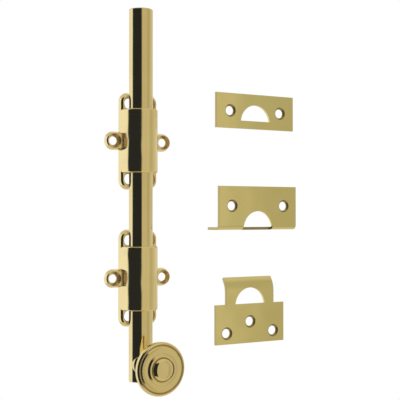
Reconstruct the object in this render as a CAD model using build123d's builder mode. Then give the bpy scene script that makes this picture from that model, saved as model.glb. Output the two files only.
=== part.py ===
from build123d import *
from math import atan, cos, degrees, radians, sin
import os

os.makedirs("parts", exist_ok=True)

# Surface bolt, standing upright. +Z runs up along the rod, the door face is
# the plane Y = 0 and the knob points to -Y. The origin is the middle of the
# lower guide's back face. All lengths are millimetres.

# Rod: a half-round bar with short straight flanks and a flat back
rod_length = 203.2
rod_bottom_z = -56.1
rod_half_width = 6.8
rod_back_gap = 3.2
rod_arc_gap = 3.6
rod_end_chamfer = 0.35

# Guides: two equal castings that hold the rod against the door
lower_guide_z = 0.0
upper_guide_z = 74.8
guide_base_thickness = 2.75
guide_body_half_length = 17.4
guide_arc_radius = 9.85
guide_arc_gap = 2.9
guide_draft_angle = 20.5
guide_end_radius = 0.9
tunnel_clearance = 0.2
ear_radius = 5.2
ear_centre_z = 21.3
guide_screw_x = 5.7
guide_screw_z = 20.65
side_tab_x = 15.2
side_tab_radius = 5.0
plate_edge_radius = 1.65
side_pocket_height = 8.0
side_pocket_half_depth = 10.05

# Screw holes
guide_hole_land = 0.5
ear_hole_radius = 2.8
ear_sink_radius = 3.8
tab_hole_radius = 2.3
tab_sink_radius = 4.0
strike_hole_land = 0.65
strike_hole_radius = 2.7
strike_sink_radius = 3.65
head_clearance_radius = 4.4
head_clearance_gap = 5.6

# Friction springs behind the rod's flat back
spring_length = 24.0
spring_width = 5.0
spring_thickness = 0.4
spring_floor_gap = 1.6
spring_rod_clearance = 0.05
spring_foot = 2.0
spring_pocket_margin = 0.5

# Knob on its waisted neck, held by a screw from the rod's back
knob_z = -46.6
knob_foot_radius = 6.4
knob_foot_height = 3.4
knob_neck_gap = 11.2
knob_neck_radius = 5.1
knob_waist_gap = 17.0
knob_waist_radius = 4.3
knob_flare_gap = 22.0
knob_flare_radius = 6.3
knob_back_gap = 24.2
knob_back_radius = 11.8
knob_back_edge = 0.35
knob_radius = 14.3
knob_rim_gap = 25.4
knob_rim_width = 1.0
knob_rim_round = 1.9
knob_rim_end = 66
knob_groove_gap = 27.6
knob_groove_outer_radius = 12.8
knob_groove_inner_radius = 12.5
knob_face_gap = 28.15
knob_face_radius = 11.75
knob_face_dish = 0.1
knob_face_lip = 0.25
knob_bead_radius = 7.22
knob_bead_round = 1.2
knob_bead_start = -6
knob_bead_end = 150
knob_boss_round = 3.0
knob_boss_start = 14
knob_boss_end = 83
knob_boss_dome = 0.22
knob_seat_wall = 1.4
knob_seat_clearance = 0.02
knob_tapping_radius = 2.5
knob_tapping_end = 20.5
knob_screw_radius = 2.45
knob_screw_end = 19.4
knob_screw_head_radius = 4.38
knob_screw_head_gap = 3.3
rod_screw_hole_radius = 2.6
rod_sink_radius = 4.5
driver_slot_width = 1.2
driver_slot_depth = 1.0

# Strikes: three alternative keepers for the rod's tip
strike_thickness = 1.6
moon_half_width = 10.4
moon_height = 9.45

flat_strike_centre_x = 78.1
flat_strike_centre_z = 95.5
flat_strike_width = 55.0
flat_strike_height = 20.5
flat_strike_screw_x = 17.8
flat_strike_moon_rise = 4.7

angle_strike_centre_x = 80.1
angle_strike_bottom_z = 25.7
angle_strike_width = 55.2
angle_strike_height = 25.7
angle_strike_flange = 11.0
angle_strike_screw_x = 18.5
angle_strike_screw_drop = 11.6
angle_strike_bend_radius = 1.2

lip_strike_centre_x = 74.2
lip_strike_bottom_z = -40.7
lip_strike_plate_height = 23.0
lip_strike_width = 48.2
lip_strike_screw_x = 16.4
lip_strike_screw_drop = 16.7
lip_strike_middle_drop = 10.5
lip_width = 33.6
lip_straight = 6.9
lip_bend_radius = 11.5
lip_bend_angle = 42.0


def sink_hole(x, z, thickness, land, radius, top_radius):
    """Return the space of a hole in a plate on the door, widened by a cone above its land."""
    slope = (top_radius - radius) / (thickness - land)
    overshoot = 0.5
    with BuildPart() as space:
        with BuildSketch(Plane.XZ):
            with Locations((x, z)):
                Circle(radius)
        extrude(amount=thickness)
        with BuildSketch(Plane.XZ.offset(thickness + overshoot)):
            with Locations((x, z)):
                Circle(top_radius + slope * overshoot)
        extrude(amount=land - thickness - overshoot, taper=degrees(atan(slope)))
    return space.part


def ear_hole(x, z):
    """Return the space of a countersunk hole in a guide's ear."""
    return sink_hole(x, z, guide_base_thickness, guide_hole_land, ear_hole_radius, ear_sink_radius)


def tab_hole(x, z):
    """Return the space of a countersunk hole in a guide's side tab."""
    return sink_hole(x, z, guide_base_thickness, guide_hole_land, tab_hole_radius, tab_sink_radius)


def strike_hole(x, z):
    """Return the space of a strike's countersunk hole."""
    return sink_hole(x, z, strike_thickness, strike_hole_land, strike_hole_radius, strike_sink_radius)


def rod_space(bottom_z, length, clearance):
    """Return a length of the rod's section, grown by a clearance."""
    half = rod_half_width + clearance
    back = -(rod_back_gap - clearance)
    with BuildPart() as space:
        with BuildSketch(Plane.XY.offset(bottom_z)):
            with BuildLine():
                Polyline((half, -rod_arc_gap), (half, back), (-half, back), (-half, -rod_arc_gap))
                ThreePointArc((-half, -rod_arc_gap), (0, -rod_arc_gap - half), (half, -rod_arc_gap))
            make_face()
        extrude(amount=length)
    return space.part


def half_moon_space(centre_x, base_z, front_gap, depth):
    """Return the space of a half-moon opening that takes the rod's tip."""
    with BuildPart() as space:
        with BuildSketch(Plane.XZ.offset(front_gap)):
            with BuildLine():
                Line((centre_x + moon_half_width, base_z), (centre_x - moon_half_width, base_z))
                ThreePointArc(
                    (centre_x - moon_half_width, base_z),
                    (centre_x, base_z + moon_height),
                    (centre_x + moon_half_width, base_z),
                )
            make_face()
        extrude(amount=-depth)
    return space.part


def plate_lobe(x, z, length, radius, turn):
    """Return one long lobe of a guide's base plate, with drafted sides and a rounded edge."""
    with BuildPart() as lobe:
        with BuildSketch(Plane.XZ):
            with Locations((x, z)):
                SlotOverall(length, 2 * radius, rotation=turn)
        extrude(amount=guide_base_thickness, taper=guide_draft_angle)
        front_face = lobe.faces().sort_by(Axis.Y)[0]
        fillet(front_face.edges(), plate_edge_radius)
    return lobe.part


def build_guide(centre_z, label):
    """Build one guide with its ears, side tabs, tunnel and screw holes."""
    slope = radians(guide_draft_angle)
    base_x = (guide_arc_gap * sin(slope) + guide_arc_radius) / cos(slope)
    side_x = guide_arc_radius * cos(slope)
    side_y = -guide_arc_gap - guide_arc_radius * sin(slope)
    front_y = -guide_arc_gap - guide_arc_radius
    body_length = 2 * guide_body_half_length

    with BuildPart() as guide:
        # Body: a drafted block with a round front
        with BuildSketch(Plane.XY.offset(centre_z - guide_body_half_length)):
            with BuildLine():
                Polyline((side_x, side_y), (base_x, 0), (-base_x, 0), (-side_x, side_y))
                ThreePointArc((-side_x, side_y), (0, front_y), (side_x, side_y))
            make_face()
        extrude(amount=body_length)
        end_edges = guide.edges().filter_by(GeomType.CIRCLE).filter_by(lambda e: e.center().Y < side_y)
        fillet(end_edges, guide_end_radius)

        # Base: two long lobes end in the four ears, and a cross lobe in the two side tabs
        ear_lobe_length = 2 * (ear_centre_z + ear_radius)
        tab_lobe_length = 2 * (side_tab_x + side_tab_radius)
        for side in (-1, 1):
            ear_x = side * (base_x - ear_radius)
            add(plate_lobe(ear_x, centre_z, ear_lobe_length, ear_radius, 90))
        add(plate_lobe(0, centre_z, tab_lobe_length, side_tab_radius, 0))

        # Tunnel for the rod, closed at the back
        tunnel_bottom_z = centre_z - 2 * guide_body_half_length
        add(rod_space(tunnel_bottom_z, 2 * body_length, tunnel_clearance), mode=Mode.SUBTRACT)

        # Shallow pocket that keeps the friction spring in place
        with BuildSketch(Plane.XZ.offset(spring_floor_gap)):
            with Locations((0, centre_z)):
                pocket_margin = 2 * spring_pocket_margin
                Rectangle(spring_width + pocket_margin, spring_length + pocket_margin)
        extrude(amount=rod_back_gap, mode=Mode.SUBTRACT)

        # Screw holes in the ears, with room for the heads cut into the body's ends
        for side in (-1, 1):
            for end in (-1, 1):
                hole_x = side * guide_screw_x
                hole_z = centre_z + end * guide_screw_z
                with BuildSketch(Plane.XZ.offset(guide_base_thickness)):
                    with Locations((hole_x, hole_z)):
                        Circle(head_clearance_radius)
                extrude(amount=head_clearance_gap - guide_base_thickness, mode=Mode.SUBTRACT)
                add(ear_hole(hole_x, hole_z), mode=Mode.SUBTRACT)

        # Screw holes in the side tabs, with a pocket cut into the body's side
        for side in (-1, 1):
            pocket_width = side_tab_x - side_pocket_half_depth
            pocket_x = side * (side_tab_x + side_pocket_half_depth) / 2
            with BuildSketch(Plane.XZ.offset(guide_base_thickness)):
                with Locations((pocket_x, centre_z)):
                    Rectangle(pocket_width, side_pocket_height)
            extrude(amount=guide_arc_gap, mode=Mode.SUBTRACT)
            add(tab_hole(side * side_tab_x, centre_z), mode=Mode.SUBTRACT)
    guide.part.label = label
    return guide.part


def profile_point(centre, radius, angle):
    """Return a point of a round in the knob's profile, its angle taken from the rim's direction."""
    turn = radians(angle)
    return (centre[0] + radius * sin(turn), centre[1] + radius * cos(turn))


def build_spring(centre_z, label):
    """Build one bowed strip with a flat foot at each end."""
    floor_y = -spring_floor_gap
    crown_y = -(rod_back_gap - spring_rod_clearance)
    inner_crown_y = crown_y + spring_thickness
    half = spring_length / 2
    bow = half - spring_foot
    with BuildPart() as spring:
        with BuildSketch(Plane.YZ.offset(-spring_width / 2)):
            with BuildLine():
                Line((floor_y, centre_z - half), (floor_y, centre_z - bow))
                ThreePointArc((floor_y, centre_z - bow), (inner_crown_y, centre_z), (floor_y, centre_z + bow))
                Line((floor_y, centre_z + bow), (floor_y, centre_z + half))
                Line((floor_y, centre_z + half), (floor_y - spring_thickness, centre_z + half))
                Line((floor_y - spring_thickness, centre_z + half), (floor_y - spring_thickness, centre_z + bow))
                ThreePointArc(
                    (floor_y - spring_thickness, centre_z + bow),
                    (crown_y, centre_z),
                    (floor_y - spring_thickness, centre_z - bow),
                )
                Line((floor_y - spring_thickness, centre_z - bow), (floor_y - spring_thickness, centre_z - half))
                Line((floor_y - spring_thickness, centre_z - half), (floor_y, centre_z - half))
            make_face()
        extrude(amount=spring_width)
    spring.part.label = label
    return spring.part


# Rod with its screw hole, sunk from the back
with BuildPart() as rod:
    add(rod_space(rod_bottom_z, rod_length, 0))
    end_faces = rod.faces().filter_by(Axis.Z)
    chamfer(end_faces.edges(), rod_end_chamfer)
    with BuildSketch(Plane.XZ.offset(rod_back_gap)):
        with Locations((0, knob_z)):
            Circle(rod_screw_hole_radius)
    extrude(amount=2 * rod_half_width, mode=Mode.SUBTRACT)
    with BuildSketch(Plane.XZ.offset(rod_back_gap)):
        with Locations((0, knob_z)):
            Circle(rod_sink_radius)
    extrude(amount=rod_sink_radius - rod_screw_hole_radius, taper=45, mode=Mode.SUBTRACT)
rod.part.label = "rod"
export_step(rod.part, "parts/rod.step")

# Knob: a ringed disc on a waisted neck whose foot straddles the rod
knob_plane = Plane(origin=(0, 0, knob_z), x_dir=(0, -1, 0), z_dir=(-1, 0, 0))
knob_axis = Axis((0, 0, knob_z), (0, -1, 0))
foot_start = rod_arc_gap + knob_seat_wall
foot_top = foot_start + knob_foot_height
back_corner = (knob_rim_gap - knob_back_edge, knob_radius - knob_back_edge)
rim_corner = (knob_rim_gap + knob_rim_width, knob_radius)
rim_centre = (rim_corner[0], knob_radius - knob_rim_round)
rim_shoulder = profile_point(rim_centre, knob_rim_round, knob_rim_end / 2)
rim_crest = profile_point(rim_centre, knob_rim_round, knob_rim_end)
bead_offset = profile_point((0, 0), knob_bead_round, knob_bead_start)
bead_centre = (knob_face_gap - bead_offset[0], knob_bead_radius)
bead_foot = profile_point(bead_centre, knob_bead_round, knob_bead_start)
bead_crest = profile_point(bead_centre, knob_bead_round, (knob_bead_start + knob_bead_end) / 2)
bead_inner = profile_point(bead_centre, knob_bead_round, knob_bead_end)
boss_offset = profile_point((0, 0), knob_boss_round, knob_boss_start)
boss_centre = (bead_inner[0] - boss_offset[0], bead_inner[1] - boss_offset[1])
boss_shoulder = profile_point(boss_centre, knob_boss_round, (knob_boss_start + knob_boss_end) / 2)
boss_edge = profile_point(boss_centre, knob_boss_round, knob_boss_end)
boss_top = (boss_edge[0] + knob_boss_dome, 0)
face_edge = (knob_face_gap + knob_face_lip, knob_face_radius)
face_middle = (knob_face_gap - knob_face_dish, (knob_face_radius + bead_foot[1]) / 2)
with BuildPart() as knob:
    with BuildSketch(knob_plane):
        with BuildLine():
            # Foot, waist and back of the disc
            Polyline((foot_start, 0), (foot_start, knob_foot_radius), (foot_top, knob_foot_radius))
            ThreePointArc(
                (foot_top, knob_foot_radius),
                (knob_neck_gap, knob_neck_radius),
                (knob_waist_gap, knob_waist_radius),
            )
            ThreePointArc(
                (knob_waist_gap, knob_waist_radius),
                (knob_flare_gap, knob_flare_radius),
                (knob_back_gap, knob_back_radius),
            )
            # Rim with a rounded front, then a narrow groove
            Polyline((knob_back_gap, knob_back_radius), back_corner, (knob_rim_gap, knob_radius), rim_corner)
            ThreePointArc(rim_corner, rim_shoulder, rim_crest)
            Line(rim_crest, (knob_groove_gap, knob_groove_outer_radius))
            Line((knob_groove_gap, knob_groove_outer_radius), (knob_groove_gap, knob_groove_inner_radius))
            Line((knob_groove_gap, knob_groove_inner_radius), face_edge)
            # Face, a shallow dish up to the round bead
            ThreePointArc(face_edge, face_middle, bead_foot)
            ThreePointArc(bead_foot, bead_crest, bead_inner)
            # Boss with a round shoulder and a slightly domed top
            ThreePointArc(bead_inner, boss_shoulder, boss_edge)
            TangentArc(boss_top, boss_edge, tangent=(0, 1))
            Line(boss_top, (foot_start, 0))
        make_face()
    revolve(axis=knob_axis)
    seat = rod_space(knob_z - 2 * knob_foot_radius, 4 * knob_foot_radius, knob_seat_clearance)
    add(seat, mode=Mode.SUBTRACT)

    # Tapped hole for the screw
    with BuildSketch(Plane.XZ.offset(foot_start)):
        with Locations((0, knob_z)):
            Circle(knob_tapping_radius)
    extrude(amount=knob_tapping_end - foot_start, mode=Mode.SUBTRACT)
knob.part.label = "knob"
export_step(knob.part, "parts/knob.step")

# Countersunk machine screw that pulls the knob onto the rod
head_cone = knob_screw_head_radius - knob_screw_radius
with BuildPart() as knob_screw:
    with BuildSketch(Plane.XZ.offset(knob_screw_head_gap)):
        with Locations((0, knob_z)):
            Circle(knob_screw_head_radius)
    extrude(amount=head_cone, taper=45)
    with BuildSketch(Plane.XZ.offset(knob_screw_head_gap)):
        with Locations((0, knob_z)):
            Circle(knob_screw_radius)
    extrude(amount=knob_screw_end - knob_screw_head_gap)
    with BuildSketch(Plane.XZ.offset(knob_screw_head_gap)):
        with Locations((0, knob_z)):
            Rectangle(driver_slot_width, 3 * knob_screw_head_radius)
    extrude(amount=driver_slot_depth, mode=Mode.SUBTRACT)
knob_screw.part.label = "knob_screw"
export_step(knob_screw.part, "parts/knob_screw.step")

# The two guides and the spring in each
for label, centre_z in (("upper", upper_guide_z), ("lower", lower_guide_z)):
    guide_part = build_guide(centre_z, label + "_guide")
    export_step(guide_part, "parts/" + label + "_guide.step")
    spring_part = build_spring(centre_z, label + "_spring")
    export_step(spring_part, "parts/" + label + "_spring.step")

# Flat strike
with BuildPart() as flat_strike:
    with BuildSketch(Plane.XZ):
        with Locations((flat_strike_centre_x, flat_strike_centre_z)):
            Rectangle(flat_strike_width, flat_strike_height)
    extrude(amount=strike_thickness)
    moon_base_z = flat_strike_centre_z - flat_strike_height / 2 + flat_strike_moon_rise
    moon = half_moon_space(flat_strike_centre_x, moon_base_z, strike_thickness, strike_thickness)
    add(moon, mode=Mode.SUBTRACT)
    for side in (-1, 1):
        hole_x = flat_strike_centre_x + side * flat_strike_screw_x
        add(strike_hole(hole_x, flat_strike_centre_z), mode=Mode.SUBTRACT)
flat_strike.part.label = "flat_strike"
export_step(flat_strike.part, "parts/flat_strike.step")

# Angle strike: a plate with a flange bent back along its lower edge
with BuildPart() as angle_strike:
    inner = angle_strike_bend_radius
    outer = inner + strike_thickness
    top_z = angle_strike_bottom_z + angle_strike_height
    low_z = angle_strike_bottom_z
    with BuildSketch(Plane.YZ.offset(angle_strike_centre_x - angle_strike_width / 2)):
        with BuildLine():
            Line((0, top_z), (-strike_thickness, top_z))
            Line((-strike_thickness, top_z), (-strike_thickness, low_z + outer))
            RadiusArc((-strike_thickness, low_z + outer), (outer - strike_thickness, low_z), -outer)
            Line((outer - strike_thickness, low_z), (angle_strike_flange, low_z))
            Line((angle_strike_flange, low_z), (angle_strike_flange, low_z + strike_thickness))
            Line((angle_strike_flange, low_z + strike_thickness), (inner, low_z + strike_thickness))
            RadiusArc((inner, low_z + strike_thickness), (0, low_z + outer), inner)
            Line((0, low_z + outer), (0, top_z))
        make_face()
    extrude(amount=angle_strike_width)
    moon_base_z = low_z + strike_thickness
    moon_depth = strike_thickness + inner
    moon = half_moon_space(angle_strike_centre_x, moon_base_z, strike_thickness, moon_depth)
    add(moon, mode=Mode.SUBTRACT)
    with BuildSketch(Plane.XZ.offset(strike_thickness)):
        with Locations((angle_strike_centre_x, low_z)):
            Rectangle(2 * moon_half_width, 2 * strike_thickness)
    extrude(amount=-moon_depth, mode=Mode.SUBTRACT)
    for side in (-1, 1):
        hole_x = angle_strike_centre_x + side * angle_strike_screw_x
        add(strike_hole(hole_x, top_z - angle_strike_screw_drop), mode=Mode.SUBTRACT)
angle_strike.part.label = "angle_strike"
export_step(angle_strike.part, "parts/angle_strike.step")

# Lip strike: a plate with a narrower lip that curves back above it
with BuildPart() as lip_strike:
    plate_top_z = lip_strike_bottom_z + lip_strike_plate_height
    with BuildSketch(Plane.XZ):
        with Locations((lip_strike_centre_x, (lip_strike_bottom_z + plate_top_z) / 2)):
            Rectangle(lip_strike_width, lip_strike_plate_height)
    extrude(amount=strike_thickness)
    bend = radians(lip_bend_angle)
    bend_z = plate_top_z + lip_straight
    back_r = lip_bend_radius
    front_r = back_r + strike_thickness
    with BuildSketch(Plane.YZ.offset(lip_strike_centre_x - lip_width / 2)):
        with BuildLine():
            Line((0, plate_top_z - 1), (-strike_thickness, plate_top_z - 1))
            Line((-strike_thickness, plate_top_z - 1), (-strike_thickness, bend_z))
            ThreePointArc(
                (-strike_thickness, bend_z),
                (back_r - front_r * cos(bend / 2), bend_z + front_r * sin(bend / 2)),
                (back_r - front_r * cos(bend), bend_z + front_r * sin(bend)),
            )
            Line(
                (back_r - front_r * cos(bend), bend_z + front_r * sin(bend)),
                (back_r - back_r * cos(bend), bend_z + back_r * sin(bend)),
            )
            ThreePointArc(
                (back_r - back_r * cos(bend), bend_z + back_r * sin(bend)),
                (back_r - back_r * cos(bend / 2), bend_z + back_r * sin(bend / 2)),
                (0, bend_z),
            )
            Line((0, bend_z), (0, plate_top_z - 1))
        make_face()
    extrude(amount=lip_width)
    moon = half_moon_space(lip_strike_centre_x, plate_top_z, strike_thickness, 2 * strike_thickness)
    add(moon, mode=Mode.SUBTRACT)
    for side in (-1, 1):
        hole_x = lip_strike_centre_x + side * lip_strike_screw_x
        add(strike_hole(hole_x, plate_top_z - lip_strike_screw_drop), mode=Mode.SUBTRACT)
    middle_z = plate_top_z - lip_strike_middle_drop
    add(strike_hole(lip_strike_centre_x, middle_z), mode=Mode.SUBTRACT)
lip_strike.part.label = "lip_strike"
export_step(lip_strike.part, "parts/lip_strike.step")
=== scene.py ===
import math

import bmesh
import bpy
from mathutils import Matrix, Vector


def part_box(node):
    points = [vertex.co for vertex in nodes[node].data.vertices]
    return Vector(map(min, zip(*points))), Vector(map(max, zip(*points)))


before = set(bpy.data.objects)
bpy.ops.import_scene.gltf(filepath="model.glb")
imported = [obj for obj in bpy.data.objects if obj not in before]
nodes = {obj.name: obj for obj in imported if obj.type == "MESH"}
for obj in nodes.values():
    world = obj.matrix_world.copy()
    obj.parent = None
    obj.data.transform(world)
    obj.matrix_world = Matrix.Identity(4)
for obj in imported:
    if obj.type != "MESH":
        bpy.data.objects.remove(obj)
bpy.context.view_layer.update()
scene = bpy.context.scene


# Camera, at the photograph's angle: on the bolt's left, almost level

cameraView = {
    "place": (-0.2432, -0.4647, 0.0345),
    "turnRight": 31.4,  # degrees from straight at the door
    "tiltUp": 0.9,
    "lens": 85.5,
    "sensor": 36.0,
    "clip": (0.02, 30.0),
}


def makeCamera(view):
    data = bpy.data.cameras.new("photoCamera")
    data.lens = view["lens"]
    data.sensor_width = view["sensor"]
    data.clip_start, data.clip_end = view["clip"]
    cam = bpy.data.objects.new("photoCamera", data)
    cam.location = view["place"]
    cam.rotation_euler = (math.radians(90 + view["tiltUp"]), 0.0, math.radians(-view["turnRight"]))
    scene.collection.objects.link(cam)
    scene.camera = cam


makeCamera(cameraView)
print("camera set")


# Short ways to place and wire shader nodes

mixSockets = {"RGBA": (6, 7, 2), "FLOAT": (2, 3, 0)}  # a Mix node's first, second and result


def give(tree, slot, value):
    if isinstance(value, bpy.types.NodeSocket):
        tree.links.new(value, slot)
    else:
        slot.default_value = value


def node(tree, kind, **settings):
    made = tree.nodes.new(kind)
    for key, value in settings.items():
        if hasattr(made, key):
            setattr(made, key, value)
        else:
            give(tree, made.inputs[key.replace("_", " ")], value)
    return made


def maths(tree, operation, *values, clamp=False):
    made = node(tree, "ShaderNodeMath", operation=operation, use_clamp=clamp)
    for slot, value in zip(made.inputs, values):
        give(tree, slot, value)
    return made.outputs["Value"]


def vectorMaths(tree, operation, *values):
    made = node(tree, "ShaderNodeVectorMath", operation=operation)
    for slot, value in zip(made.inputs, values):
        give(tree, slot, value)
    return made.outputs["Value" if operation in ("LENGTH", "DOT_PRODUCT") else "Vector"]


def stretch(tree, value, low, high, toLow=0.0, toHigh=1.0):
    made = node(tree, "ShaderNodeMapRange", Value=value, From_Min=low, From_Max=high,
                To_Min=toLow, To_Max=toHigh)
    return made.outputs["Result"]


def mixed(tree, kind, share, first, second):
    made = node(tree, "ShaderNodeMix", data_type=kind, Factor=share)
    firstSlot, secondSlot, result = mixSockets[kind]
    give(tree, made.inputs[firstSlot], first)
    give(tree, made.inputs[secondSlot], second)
    return made.outputs[result]


# Studio: a pale floor under white air, and a dome of cards that only the brass mirrors

studio = {
    "floorHeight": -1.6,
    "floorHalf": 8.0,
    "floorWhite": 0.86,
    "floorRoughness": 0.9,
    "floorGlow": (0.85, 1.0),  # what is left near the middle keeps the shadow
    "floorGlowReach": (1.0, 2.6),
    "domeRadius": 1.5,
    # degrees to the right of the camera, as the bolt sees it, and the tone there
    "domeTones": [
        (-180, (0.75, 0.74, 0.70)),
        (-150, (0.80, 0.79, 0.75)),
        (-120, (0.88, 0.86, 0.80)),
        (-95, (0.95, 0.95, 0.94)),
        (-78, (0.95, 0.95, 0.94)),
        (-71, (0.022, 0.026, 0.034)),
        (12, (0.022, 0.026, 0.034)),
        (19, (0.56, 0.53, 0.40)),
        (24, (0.61, 0.57, 0.44)),
        (36, (0.61, 0.565, 0.42)),
        (48, (0.60, 0.55, 0.41)),
        (56, (0.62, 0.57, 0.43)),
        (62, (0.61, 0.565, 0.42)),
        (66.8, (0.635, 0.592, 0.42)),
        (68.2, (0.515, 0.485, 0.345)),
        (85, (0.51, 0.475, 0.335)),
        (95, (0.56, 0.52, 0.40)),
        (104, (0.60, 0.56, 0.46)),
        (115, (0.63, 0.60, 0.50)),
        (128, (0.70, 0.66, 0.56)),
        (145, (0.72, 0.68, 0.60)),
        (180, (0.75, 0.74, 0.70)),
    ],
    "domePale": 0.2,  # lighter than this is a pale card, the rest is the dark one
    "domeEnds": (0.66, 0.62, 0.48),
    "domeEndsFrom": (1.14, 1.26),  # height at which the dark card gives way to it
    "domePaleEndsFrom": (0.90, 1.10),  # and the pale cards
    "worldLight": 0.80,
    "lampPower": 9.0,
    "lampSize": 1.2,
    "lampPlace": (-0.7, -0.9, 1.6),
}


def stageObject(name, bm, material):
    mesh = bpy.data.meshes.new(name)
    bm.to_mesh(mesh)
    bm.free()
    mesh.materials.append(material)
    obj = bpy.data.objects.new(name, mesh)
    scene.collection.objects.link(obj)
    return obj


def makeWorld(setup):
    world = bpy.data.worlds.new("studioWhite")
    scene.world = world
    world.use_nodes = True
    tree = world.node_tree
    back = tree.nodes["Background"]
    back.inputs["Color"].default_value = (1.0, 1.0, 1.0, 1.0)
    path = tree.nodes.new("ShaderNodeLightPath")
    seen = maths(tree, "MAXIMUM", path.outputs["Is Camera Ray"], path.outputs["Is Glossy Ray"])
    seen = maths(tree, "MAXIMUM", seen, path.outputs["Is Transmission Ray"])
    give(tree, back.inputs["Strength"], stretch(tree, seen, 0.0, 1.0, setup["worldLight"], 1.0))


def makeFloor(setup):
    mat = bpy.data.materials.new("paleFloor")
    mat.use_nodes = True
    tree = mat.node_tree
    shader = tree.nodes["Principled BSDF"]
    white = setup["floorWhite"]
    shader.inputs["Base Color"].default_value = (white, white, white, 1.0)
    shader.inputs["Roughness"].default_value = setup["floorRoughness"]
    shader.inputs["Specular IOR Level"].default_value = 0.0
    glow = node(tree, "ShaderNodeEmission", Color=(1.0, 1.0, 1.0, 1.0))
    path = tree.nodes.new("ShaderNodeLightPath")
    seen = maths(tree, "MAXIMUM", path.outputs["Is Camera Ray"], path.outputs["Is Glossy Ray"])
    place = tree.nodes.new("ShaderNodeTexCoord")
    away = vectorMaths(tree, "LENGTH", place.outputs["Object"])
    level = stretch(tree, away, *setup["floorGlowReach"], *setup["floorGlow"])
    mix = tree.nodes.new("ShaderNodeMixShader")
    tree.links.new(maths(tree, "MULTIPLY", seen, level), mix.inputs[0])
    tree.links.new(shader.outputs[0], mix.inputs[1])
    tree.links.new(glow.outputs[0], mix.inputs[2])
    tree.links.new(mix.outputs[0], tree.nodes["Material Output"].inputs["Surface"])
    bm = bmesh.new()
    bmesh.ops.create_grid(bm, x_segments=1, y_segments=1, size=setup["floorHalf"])
    floor = stageObject("floor", bm, mat)
    floor.location.z = setup["floorHeight"]


def makeDome(setup):
    mat = bpy.data.materials.new("domeCards")
    mat.use_nodes = True
    tree = mat.node_tree
    tree.nodes.remove(tree.nodes["Principled BSDF"])
    place = tree.nodes.new("ShaderNodeTexCoord").outputs["Object"]
    towardsCamera = math.radians(90 + cameraView["turnRight"])
    turn = node(tree, "ShaderNodeMapping", Vector=place, Rotation=(0.0, 0.0, towardsCamera))
    around = node(tree, "ShaderNodeTexGradient", gradient_type="RADIAL", Vector=turn.outputs[0])
    tones = node(tree, "ShaderNodeValToRGB", Fac=around.outputs["Color"])
    # the ramp has its first and last stop already
    ramp = tones.color_ramp
    stops = setup["domeTones"]
    for angle, tone in stops[1:-1]:
        ramp.elements.new(angle / 360 + 0.5)
    for stop, (angle, tone) in zip(ramp.elements, stops):
        stop.color = (*tone, 1.0)
    # the cards stop short of the dome's top and foot
    split = node(tree, "ShaderNodeSeparateXYZ", Vector=place)
    steep = maths(tree, "ABSOLUTE", split.outputs["Z"])
    darkEnds = stretch(tree, steep, *setup["domeEndsFrom"])
    paleEnds = stretch(tree, steep, *setup["domePaleEndsFrom"])
    grey = node(tree, "ShaderNodeRGBToBW", Color=tones.outputs["Color"])
    pale = maths(tree, "GREATER_THAN", grey.outputs[0], setup["domePale"])
    ends = maths(tree, "MAXIMUM", darkEnds, maths(tree, "MULTIPLY", paleEnds, pale))
    cards = mixed(tree, "RGBA", ends, tones.outputs["Color"], (*setup["domeEnds"], 1.0))
    glow = node(tree, "ShaderNodeEmission", Color=cards)
    tree.links.new(glow.outputs[0], tree.nodes["Material Output"].inputs["Surface"])
    bm = bmesh.new()
    bmesh.ops.create_uvsphere(bm, u_segments=96, v_segments=48, radius=setup["domeRadius"])
    dome = stageObject("dome", bm, mat)
    dome.visible_camera = False
    dome.visible_diffuse = False
    dome.visible_shadow = False


def makeLamp(setup):
    data = bpy.data.lights.new("softLamp", "AREA")
    data.energy = setup["lampPower"]
    data.size = setup["lampSize"]
    lamp = bpy.data.objects.new("softLamp", data)
    lamp.location = setup["lampPlace"]
    lamp.rotation_euler = (-Vector(setup["lampPlace"])).to_track_quat("-Z", "Y").to_euler()
    lamp.visible_glossy = False
    scene.collection.objects.link(lamp)


makeWorld(studio)
makeFloor(studio)
makeDome(studio)
makeLamp(studio)
print("studio built")


# Effects that the brass finishes share

def newGroup(name, takes, gives):
    tree = bpy.data.node_groups.new(name, "ShaderNodeTree")
    for label, kind, usual in takes:
        socket = tree.interface.new_socket(label, in_out="INPUT", socket_type="NodeSocket" + kind)
        if usual is not None:
            socket.default_value = usual
    for label, kind in gives:
        tree.interface.new_socket(label, in_out="OUTPUT", socket_type="NodeSocket" + kind)
    start = tree.nodes.new("NodeGroupInput")
    end = tree.nodes.new("NodeGroupOutput")
    return tree, start.outputs, end.inputs


def noise(tree, vector, scale, **settings):
    return node(tree, "ShaderNodeTexNoise", Vector=vector, Scale=scale, **settings).outputs[0]


def makePolishMarks():
    tree, start, end = newGroup(
        "polishMarks",
        [("Vector", "Vector", None), ("Run", "Vector", (1.0, 1.0, 1.0)), ("Fineness", "Float", 900.0)],
        [("Height", "Float"), ("Mask", "Float")])
    run = vectorMaths(tree, "MULTIPLY", start["Vector"], start["Run"])
    lines = stretch(tree, noise(tree, run, start["Fineness"], Detail=4.0, Roughness=0.62), 0.30, 0.70)
    patchy = stretch(tree, noise(tree, start["Vector"], 60.0, Detail=2.0), 0.35, 0.68)
    tree.links.new(lines, end["Height"])
    tree.links.new(maths(tree, "MULTIPLY", lines, patchy), end["Mask"])
    return tree


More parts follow.
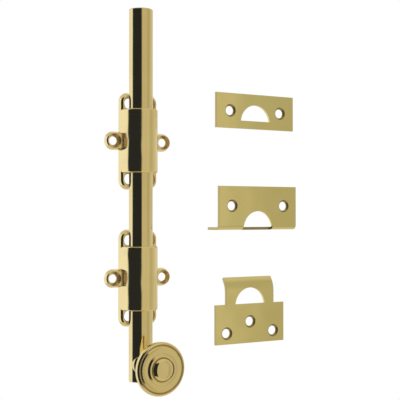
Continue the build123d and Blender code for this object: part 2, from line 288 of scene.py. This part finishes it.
def makeToneDrift():
    tree, start, end = newGroup(
        "toneDrift",
        [("Vector", "Vector", None), ("Size", "Float", 40.0),
         ("Bright", "Color", (0.9, 0.76, 0.42, 1.0)), ("Deep", "Color", (0.8, 0.65, 0.3, 1.0))],
        [("Color", "Color"), ("Mask", "Float")])
    cloud = noise(tree, start["Vector"], start["Size"], Detail=5.0, Roughness=0.55, Distortion=0.6)
    soft = stretch(tree, cloud, 0.36, 0.66)
    tree.links.new(mixed(tree, "RGBA", soft, start["Bright"], start["Deep"]), end["Color"])
    tree.links.new(soft, end["Mask"])
    return tree


def makeSlowRipple():
    tree, start, end = newGroup(
        "slowRipple", [("Vector", "Vector", None), ("Size", "Float", 80.0)], [("Height", "Float")])
    swell = noise(tree, start["Vector"], start["Size"], Detail=1.0, Roughness=0.35)
    tree.links.new(swell, end["Height"])
    return tree


def makeEdgeWear():
    tree, start, end = newGroup(
        "edgeWear",
        [("Vector", "Vector", None), ("Width", "Float", 0.0004), ("Amount", "Float", 1.0)],
        [("Mask", "Float")])
    # an edge is where the rounded normal leaves the true one
    rounded = node(tree, "ShaderNodeBevel", samples=6, Radius=start["Width"])
    flat = tree.nodes.new("ShaderNodeNewGeometry")
    same = vectorMaths(tree, "DOT_PRODUCT", rounded.outputs[0], flat.outputs["Normal"])
    edge = stretch(tree, same, 0.995, 0.88)
    gaps = stretch(tree, noise(tree, start["Vector"], 420.0, Detail=3.0), 0.3, 0.62)
    worn = maths(tree, "MULTIPLY", edge, gaps)
    tree.links.new(maths(tree, "MULTIPLY", worn, start["Amount"], clamp=True), end["Mask"])
    return tree


def awayFromAxis(tree, offset):
    # the axes of the holes and of the knob run along Y
    return vectorMaths(tree, "LENGTH", vectorMaths(tree, "MULTIPLY", offset, (1.0, 0.0, 1.0)))


def makeSinkMask():
    tree, start, end = newGroup(
        "sinkMask",
        [("Vector", "Vector", None), ("Hole", "Vector", (0.0, 0.0, 0.0)), ("Reach", "Float", 0.004)],
        [("Mask", "Float")])
    offset = vectorMaths(tree, "SUBTRACT", start["Vector"], start["Hole"])
    inside = maths(tree, "LESS_THAN", awayFromAxis(tree, offset), start["Reach"])
    # the plate's back face stays plain
    backSkin = -0.00005
    split = node(tree, "ShaderNodeSeparateXYZ", Vector=offset)
    front = maths(tree, "LESS_THAN", split.outputs["Y"], backSkin)
    tree.links.new(maths(tree, "MULTIPLY", inside, front), end["Mask"])
    return tree


def makeRingMask():
    tree, start, end = newGroup(
        "ringMask",
        [("Vector", "Vector", None), ("Middle", "Vector", (0.0, 0.0, 0.0)), ("Radius", "Float", 0.01),
         ("Spread", "Float", 0.0005), ("Front", "Float", 0.0), ("Amount", "Float", 1.0)],
        [("Mask", "Float")])
    offset = vectorMaths(tree, "SUBTRACT", start["Vector"], start["Middle"])
    fromRing = maths(tree, "SUBTRACT", awayFromAxis(tree, offset), start["Radius"])
    fade = node(tree, "ShaderNodeMapRange", interpolation_type="SMOOTHSTEP",
                Value=maths(tree, "ABSOLUTE", fromRing), From_Min=0.0, From_Max=start["Spread"],
                To_Min=1.0, To_Max=0.0)
    split = node(tree, "ShaderNodeSeparateXYZ", Vector=start["Vector"])
    front = maths(tree, "LESS_THAN", split.outputs["Y"], start["Front"])
    both = maths(tree, "MULTIPLY", fade.outputs["Result"], front)
    tree.links.new(maths(tree, "MULTIPLY", both, start["Amount"]), end["Mask"])
    return tree


def makeBoxMask():
    tree, start, end = newGroup(
        "boxMask",
        [("Vector", "Vector", None), ("Middle", "Vector", (0.0, 0.0, 0.0)),
         ("Half", "Vector", (0.001, 0.001, 0.001)), ("Amount", "Float", 1.0)],
        [("Mask", "Float")])
    offset = vectorMaths(tree, "SUBTRACT", start["Vector"], start["Middle"])
    past = vectorMaths(tree, "SUBTRACT", vectorMaths(tree, "ABSOLUTE", offset), start["Half"])
    split = node(tree, "ShaderNodeSeparateXYZ", Vector=past)
    most = maths(tree, "MAXIMUM", split.outputs["X"], split.outputs["Y"])
    most = maths(tree, "MAXIMUM", most, split.outputs["Z"])
    inside = maths(tree, "LESS_THAN", most, 0.0)
    tree.links.new(maths(tree, "MULTIPLY", inside, start["Amount"]), end["Mask"])
    return tree


polishMarks = makePolishMarks()
toneDrift = makeToneDrift()
slowRipple = makeSlowRipple()
edgeWear = makeEdgeWear()
sinkMask = makeSinkMask()
ringMask = makeRingMask()
boxMask = makeBoxMask()
print("shared effects built")


# Brass, laid on from one look: a dictionary of values for each piece

lacquerRoughness = 0.04


def placeGroup(tree, group, vector, **values):
    return node(tree, "ShaderNodeGroup", node_tree=group, Vector=vector, **values)


def dullAndShadeMask(tree, vector, places):
    masks = [placeGroup(tree, group, vector, **values).outputs["Mask"] for group, values in places]
    mask = masks[0]
    for other in masks[1:]:
        mask = maths(tree, "MAXIMUM", mask, other)
    return mask


def makeBrass(name, look, dullAndShadeSkins=()):
    mat = bpy.data.materials.new(name)
    mat.use_nodes = True
    tree = mat.node_tree
    shader = tree.nodes["Principled BSDF"]
    shader.inputs["Coat Weight"].default_value = look["lacquer"]
    shader.inputs["Coat Roughness"].default_value = lacquerRoughness
    place = tree.nodes.new("ShaderNodeTexCoord").outputs["Object"]
    tone = placeGroup(tree, toneDrift, place, Size=look["cloudSize"],
                      Bright=(*look["bright"], 1.0), Deep=(*look["deep"], 1.0))
    marks = placeGroup(tree, polishMarks, place, Run=look["run"], Fineness=look["fineness"])
    wear = placeGroup(tree, edgeWear, place, Width=look["wearWidth"], Amount=look["wear"])
    # rubbed edges have their own tone
    rubbed = (*look["rubbed"], 1.0)
    colour = mixed(tree, "RGBA", wear.outputs["Mask"], tone.outputs["Color"], rubbed)
    # gloss drifts with the polish marks and the handling film
    film = stretch(tree, tone.outputs["Mask"], 0.0, 1.0, *look["gloss"])
    gloss = maths(tree, "MULTIPLY_ADD", marks.outputs["Mask"], look["markGloss"], film, clamp=True)
    # places that the buff doesn't reach keep a dull brown skin, which also serves as painted shade in
    # sinks, pockets, grooves and cut faces; the left ears' dark skin is painted shade alone
    metal = 1.0
    for skin, places in dullAndShadeSkins:
        inDullAndShade = dullAndShadeMask(tree, place, places)
        colour = mixed(tree, "RGBA", inDullAndShade, colour, (*look[skin + "Tone"], 1.0))
        metal = mixed(tree, "FLOAT", inDullAndShade, metal, look[skin + "Metal"])
        gloss = mixed(tree, "FLOAT", inDullAndShade, gloss, look[skin + "Gloss"])
    give(tree, shader.inputs["Base Color"], colour)
    give(tree, shader.inputs["Metallic"], metal)
    give(tree, shader.inputs["Roughness"], gloss)
    # softened edges, then the slow ripple left by casting or rolling, then the marks
    soft = node(tree, "ShaderNodeBevel", samples=8, Radius=look["softEdge"])
    swell = placeGroup(tree, slowRipple, place, Size=look["rippleSize"])
    wavy = node(tree, "ShaderNodeBump", Strength=1.0, Distance=look["rippleDepth"],
                Height=swell.outputs["Height"], Normal=soft.outputs[0])
    relief = node(tree, "ShaderNodeBump", Strength=look["relief"], Distance=look["reliefDepth"],
                  Height=marks.outputs["Height"], Normal=wavy.outputs[0])
    give(tree, shader.inputs["Normal"], relief.outputs[0])
    return mat


def sinkPlaces(look, sinks):
    return [(sinkMask, {"Hole": (x, 0.0, z), "Reach": look["sinkReach"]}) for x, z in sinks]


def middle(name):
    low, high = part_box(name)
    return [(a + b) / 2 for a, b in zip(low, high)]


def dress(material, *names):
    for name in names:
        for slot in nodes[name].material_slots:
            slot.material = material


# Guides: cast brass, buffed and lacquered

guideLook = {
    "bright": (0.93, 0.785, 0.415), "deep": (0.90, 0.74, 0.375), "rubbed": (0.95, 0.83, 0.53),
    "cloudSize": 55.0, "run": (0.06, 0.5, 1.0), "fineness": 2200.0,
    "gloss": (0.055, 0.11), "markGloss": 0.05, "relief": 0.10, "reliefDepth": 0.00002,
    "rippleSize": 95.0, "rippleDepth": 0.0003,
    "softEdge": 0.00035, "wearWidth": 0.0005, "wear": 0.8, "lacquer": 0.35,
    "earHole": (0.0057, 0.02065), "tabHole": 0.0152, "sinkReach": 0.0040,
    # a dull brown skin in the sinks, partly a real unbuffed face and partly painted shade
    "dullTone": (0.70, 0.53, 0.25), "dullMetal": 0.92, "dullGloss": 0.30,
    # painted shade: the left ears are darkest on their outer side
    "darkTone": (0.24, 0.175, 0.075), "darkMetal": 0.85, "darkGloss": 0.35,
    "paintedEarShadeAside": 0.0006, "paintedEarShadeReach": 0.0034,
    # painted shade in the pocket beside each tab, short of the flat back
    "pocketAt": (0.0104, -0.0105), "pocketHalf": (0.0009, 0.0100, 0.0042),
}
for name in ("upper_guide", "lower_guide"):
    x, _, z = middle(name)
    earX, earZ = guideLook["earHole"]
    sinks = [(x + side * earX, z + end * earZ) for side in (-1, 1) for end in (-1, 1)]
    sinks += [(x + side * guideLook["tabHole"], z) for side in (-1, 1)]
    dullAndShadePlaces = sinkPlaces(guideLook, sinks)
    # painted shade, a dark crescent just outside each left ear's hole
    paintedEarShadeX = x - earX - guideLook["paintedEarShadeAside"]
    paintedEarShadePlaces = [(sinkMask, {"Hole": (paintedEarShadeX, 0.0, z + end * earZ), "Reach": guideLook["paintedEarShadeReach"]})
                  for end in (-1, 1)]
    # painted shade in the pocket beside each tab
    pocketX, pocketY = guideLook["pocketAt"]
    for side in (-1, 1):
        pocket = {"Middle": (x + side * pocketX, pocketY, z), "Half": guideLook["pocketHalf"]}
        dullAndShadePlaces.append((boxMask, pocket))
    skins = [("dull", dullAndShadePlaces), ("dark", paintedEarShadePlaces)]
    dress(makeBrass(name.split("_")[0] + "GuideBrass", guideLook, skins), name)

# Rod: drawn bar, polished along its length

rodLook = {
    "bright": (0.87, 0.735, 0.39), "deep": (0.84, 0.69, 0.345), "rubbed": (0.93, 0.82, 0.55),
    "cloudSize": 40.0, "run": (1.0, 1.0, 0.03), "fineness": 2600.0,
    "gloss": (0.06, 0.12), "markGloss": 0.06, "relief": 0.12, "reliefDepth": 0.00002,
    "rippleSize": 60.0, "rippleDepth": 0.00003,
    "softEdge": 0.0003, "wearWidth": 0.0005, "wear": 0.8, "lacquer": 0.2,
}
dress(makeBrass("rodBrass", rodLook), "rod")

# Knob: turned, then buffed evenly all over its face

knobLook = {
    "bright": (0.87, 0.725, 0.38), "deep": (0.84, 0.685, 0.34), "rubbed": (0.92, 0.80, 0.51),
    "cloudSize": 60.0, "run": (1.0, 0.08, 1.0), "fineness": 1900.0,
    "gloss": (0.05, 0.10), "markGloss": 0.05, "relief": 0.10, "reliefDepth": 0.00002,
    "rippleSize": 90.0, "rippleDepth": 0.00003,
    "softEdge": 0.0003, "wearWidth": 0.0005, "wear": 0.8, "lacquer": 0.35,
    # painted shade in the knob's grooves, laid on with the dull skin
    "grooves": ((0.01262, 0.0005, 1.0), (0.0062, 0.0005, 0.75)),  # radius, spread and amount
    "grooveFront": -0.026,  # only what stands further out than this
    "dullTone": (0.36, 0.275, 0.14), "dullMetal": 0.92, "dullGloss": 0.14,
}
knobMiddle = middle("knob")
knobGrooves = []
for radius, spread, amount in knobLook["grooves"]:
    ring = {"Middle": knobMiddle, "Radius": radius, "Spread": spread, "Front": knobLook["grooveFront"],
            "Amount": amount}
    knobGrooves.append((ringMask, ring))
dress(makeBrass("knobBrass", knobLook, [("dull", knobGrooves)]), "knob")

# Strikes: cut from rolled sheet and buffed lengthways

strikeLook = {
    "bright": (0.86, 0.755, 0.385), "deep": (0.83, 0.715, 0.34), "rubbed": (0.66, 0.57, 0.29),
    "cloudSize": 45.0, "run": (0.04, 1.0, 1.0), "fineness": 2400.0,
    "gloss": (0.045, 0.09), "markGloss": 0.05, "relief": 0.10, "reliefDepth": 0.00002,
    "rippleSize": 38.0, "rippleDepth": 0.0004,
    "softEdge": 0.0002, "wearWidth": 0.0004, "wear": 0.9, "lacquer": 0.25, "sinkReach": 0.0037,
    # a dull brown skin in the sinks and on the cut faces, partly real and partly painted shade
    "dullTone": (0.36, 0.27, 0.10), "dullMetal": 0.78, "dullGloss": 0.30,
    # holes from the middle of each strike's box, left to right
    "flatHoles": ((-0.0178, 0.0), (0.0178, 0.0)),
    "angleHoles": ((-0.0185, 0.00125), (0.0185, 0.00125)),
    "lipHoles": ((-0.0164, -0.01303), (0.0, -0.00683), (0.0164, -0.01303)),
    # sheared faces, duller and partly painted shade: how far they stand from the middle, and the
    # height that they start at
    "flatSides": ((0.0275, -1.0),), "angleSides": ((0.0276, -1.0),),
    "lipSides": ((0.0241, -1.0), (0.0168, -0.0177)),
    "cutSkin": 0.00006, "cutDullAndShade": 0.6,
    "cutHalf": 1.0,  # longer than any face
    # the angle strike's cut edge at the foot of its half-moon opening, darkened as painted shade
    "moonFoot": (0.0012, 0.0265), "moonFootHalf": (0.0106, 0.00015, 0.0010),
}
for name in ("flat", "angle", "lip"):
    x, y, z = middle(name + "_strike")
    sinks = [(x + holeX, z + holeZ) for holeX, holeZ in strikeLook[name + "Holes"]]
    dullAndShadePlaces = sinkPlaces(strikeLook, sinks)
    skin, half = strikeLook["cutSkin"], strikeLook["cutHalf"]
    for reach, foot in strikeLook[name + "Sides"]:
        for side in (-1, 1):
            face = {"Middle": (x + side * reach, y, foot + half), "Half": (skin, half, half),
                    "Amount": strikeLook["cutDullAndShade"]}
            dullAndShadePlaces.append((boxMask, face))
    if name == "angle":
        footY, footZ = strikeLook["moonFoot"]
        edge = {"Middle": (x, footY, footZ), "Half": strikeLook["moonFootHalf"]}
        dullAndShadePlaces.append((boxMask, edge))
    dress(makeBrass(name + "StrikeBrass", strikeLook, [("dull", dullAndShadePlaces)]), name + "_strike")

# Knob screw: machined and left bright

screwLook = {
    "bright": (0.84, 0.69, 0.36), "deep": (0.76, 0.60, 0.29), "rubbed": (0.92, 0.80, 0.52),
    "cloudSize": 160.0, "run": (1.0, 0.3, 1.0), "fineness": 2600.0,
    "gloss": (0.16, 0.26), "markGloss": 0.10, "relief": 0.25, "reliefDepth": 0.00003,
    "rippleSize": 90.0, "rippleDepth": 0.00001,
    "softEdge": 0.00015, "wearWidth": 0.0003, "wear": 1.0, "lacquer": 0.0,
}
dress(makeBrass("screwBrass", screwLook), "knob_screw")

# Springs: thin rolled bronze strip, unpolished

springLook = {
    "bright": (0.74, 0.50, 0.28), "deep": (0.62, 0.38, 0.20), "rubbed": (0.84, 0.64, 0.42),
    "cloudSize": 120.0, "run": (1.0, 1.0, 0.05), "fineness": 2200.0,
    "gloss": (0.22, 0.34), "markGloss": 0.12, "relief": 0.25, "reliefDepth": 0.00003,
    "rippleSize": 90.0, "rippleDepth": 0.00002,
    "softEdge": 0.0001, "wearWidth": 0.0002, "wear": 1.0, "lacquer": 0.0,
}
dress(makeBrass("springBronze", springLook), "upper_spring", "lower_spring")
print("brass finishes made")

scene.view_settings.view_transform = "Standard"
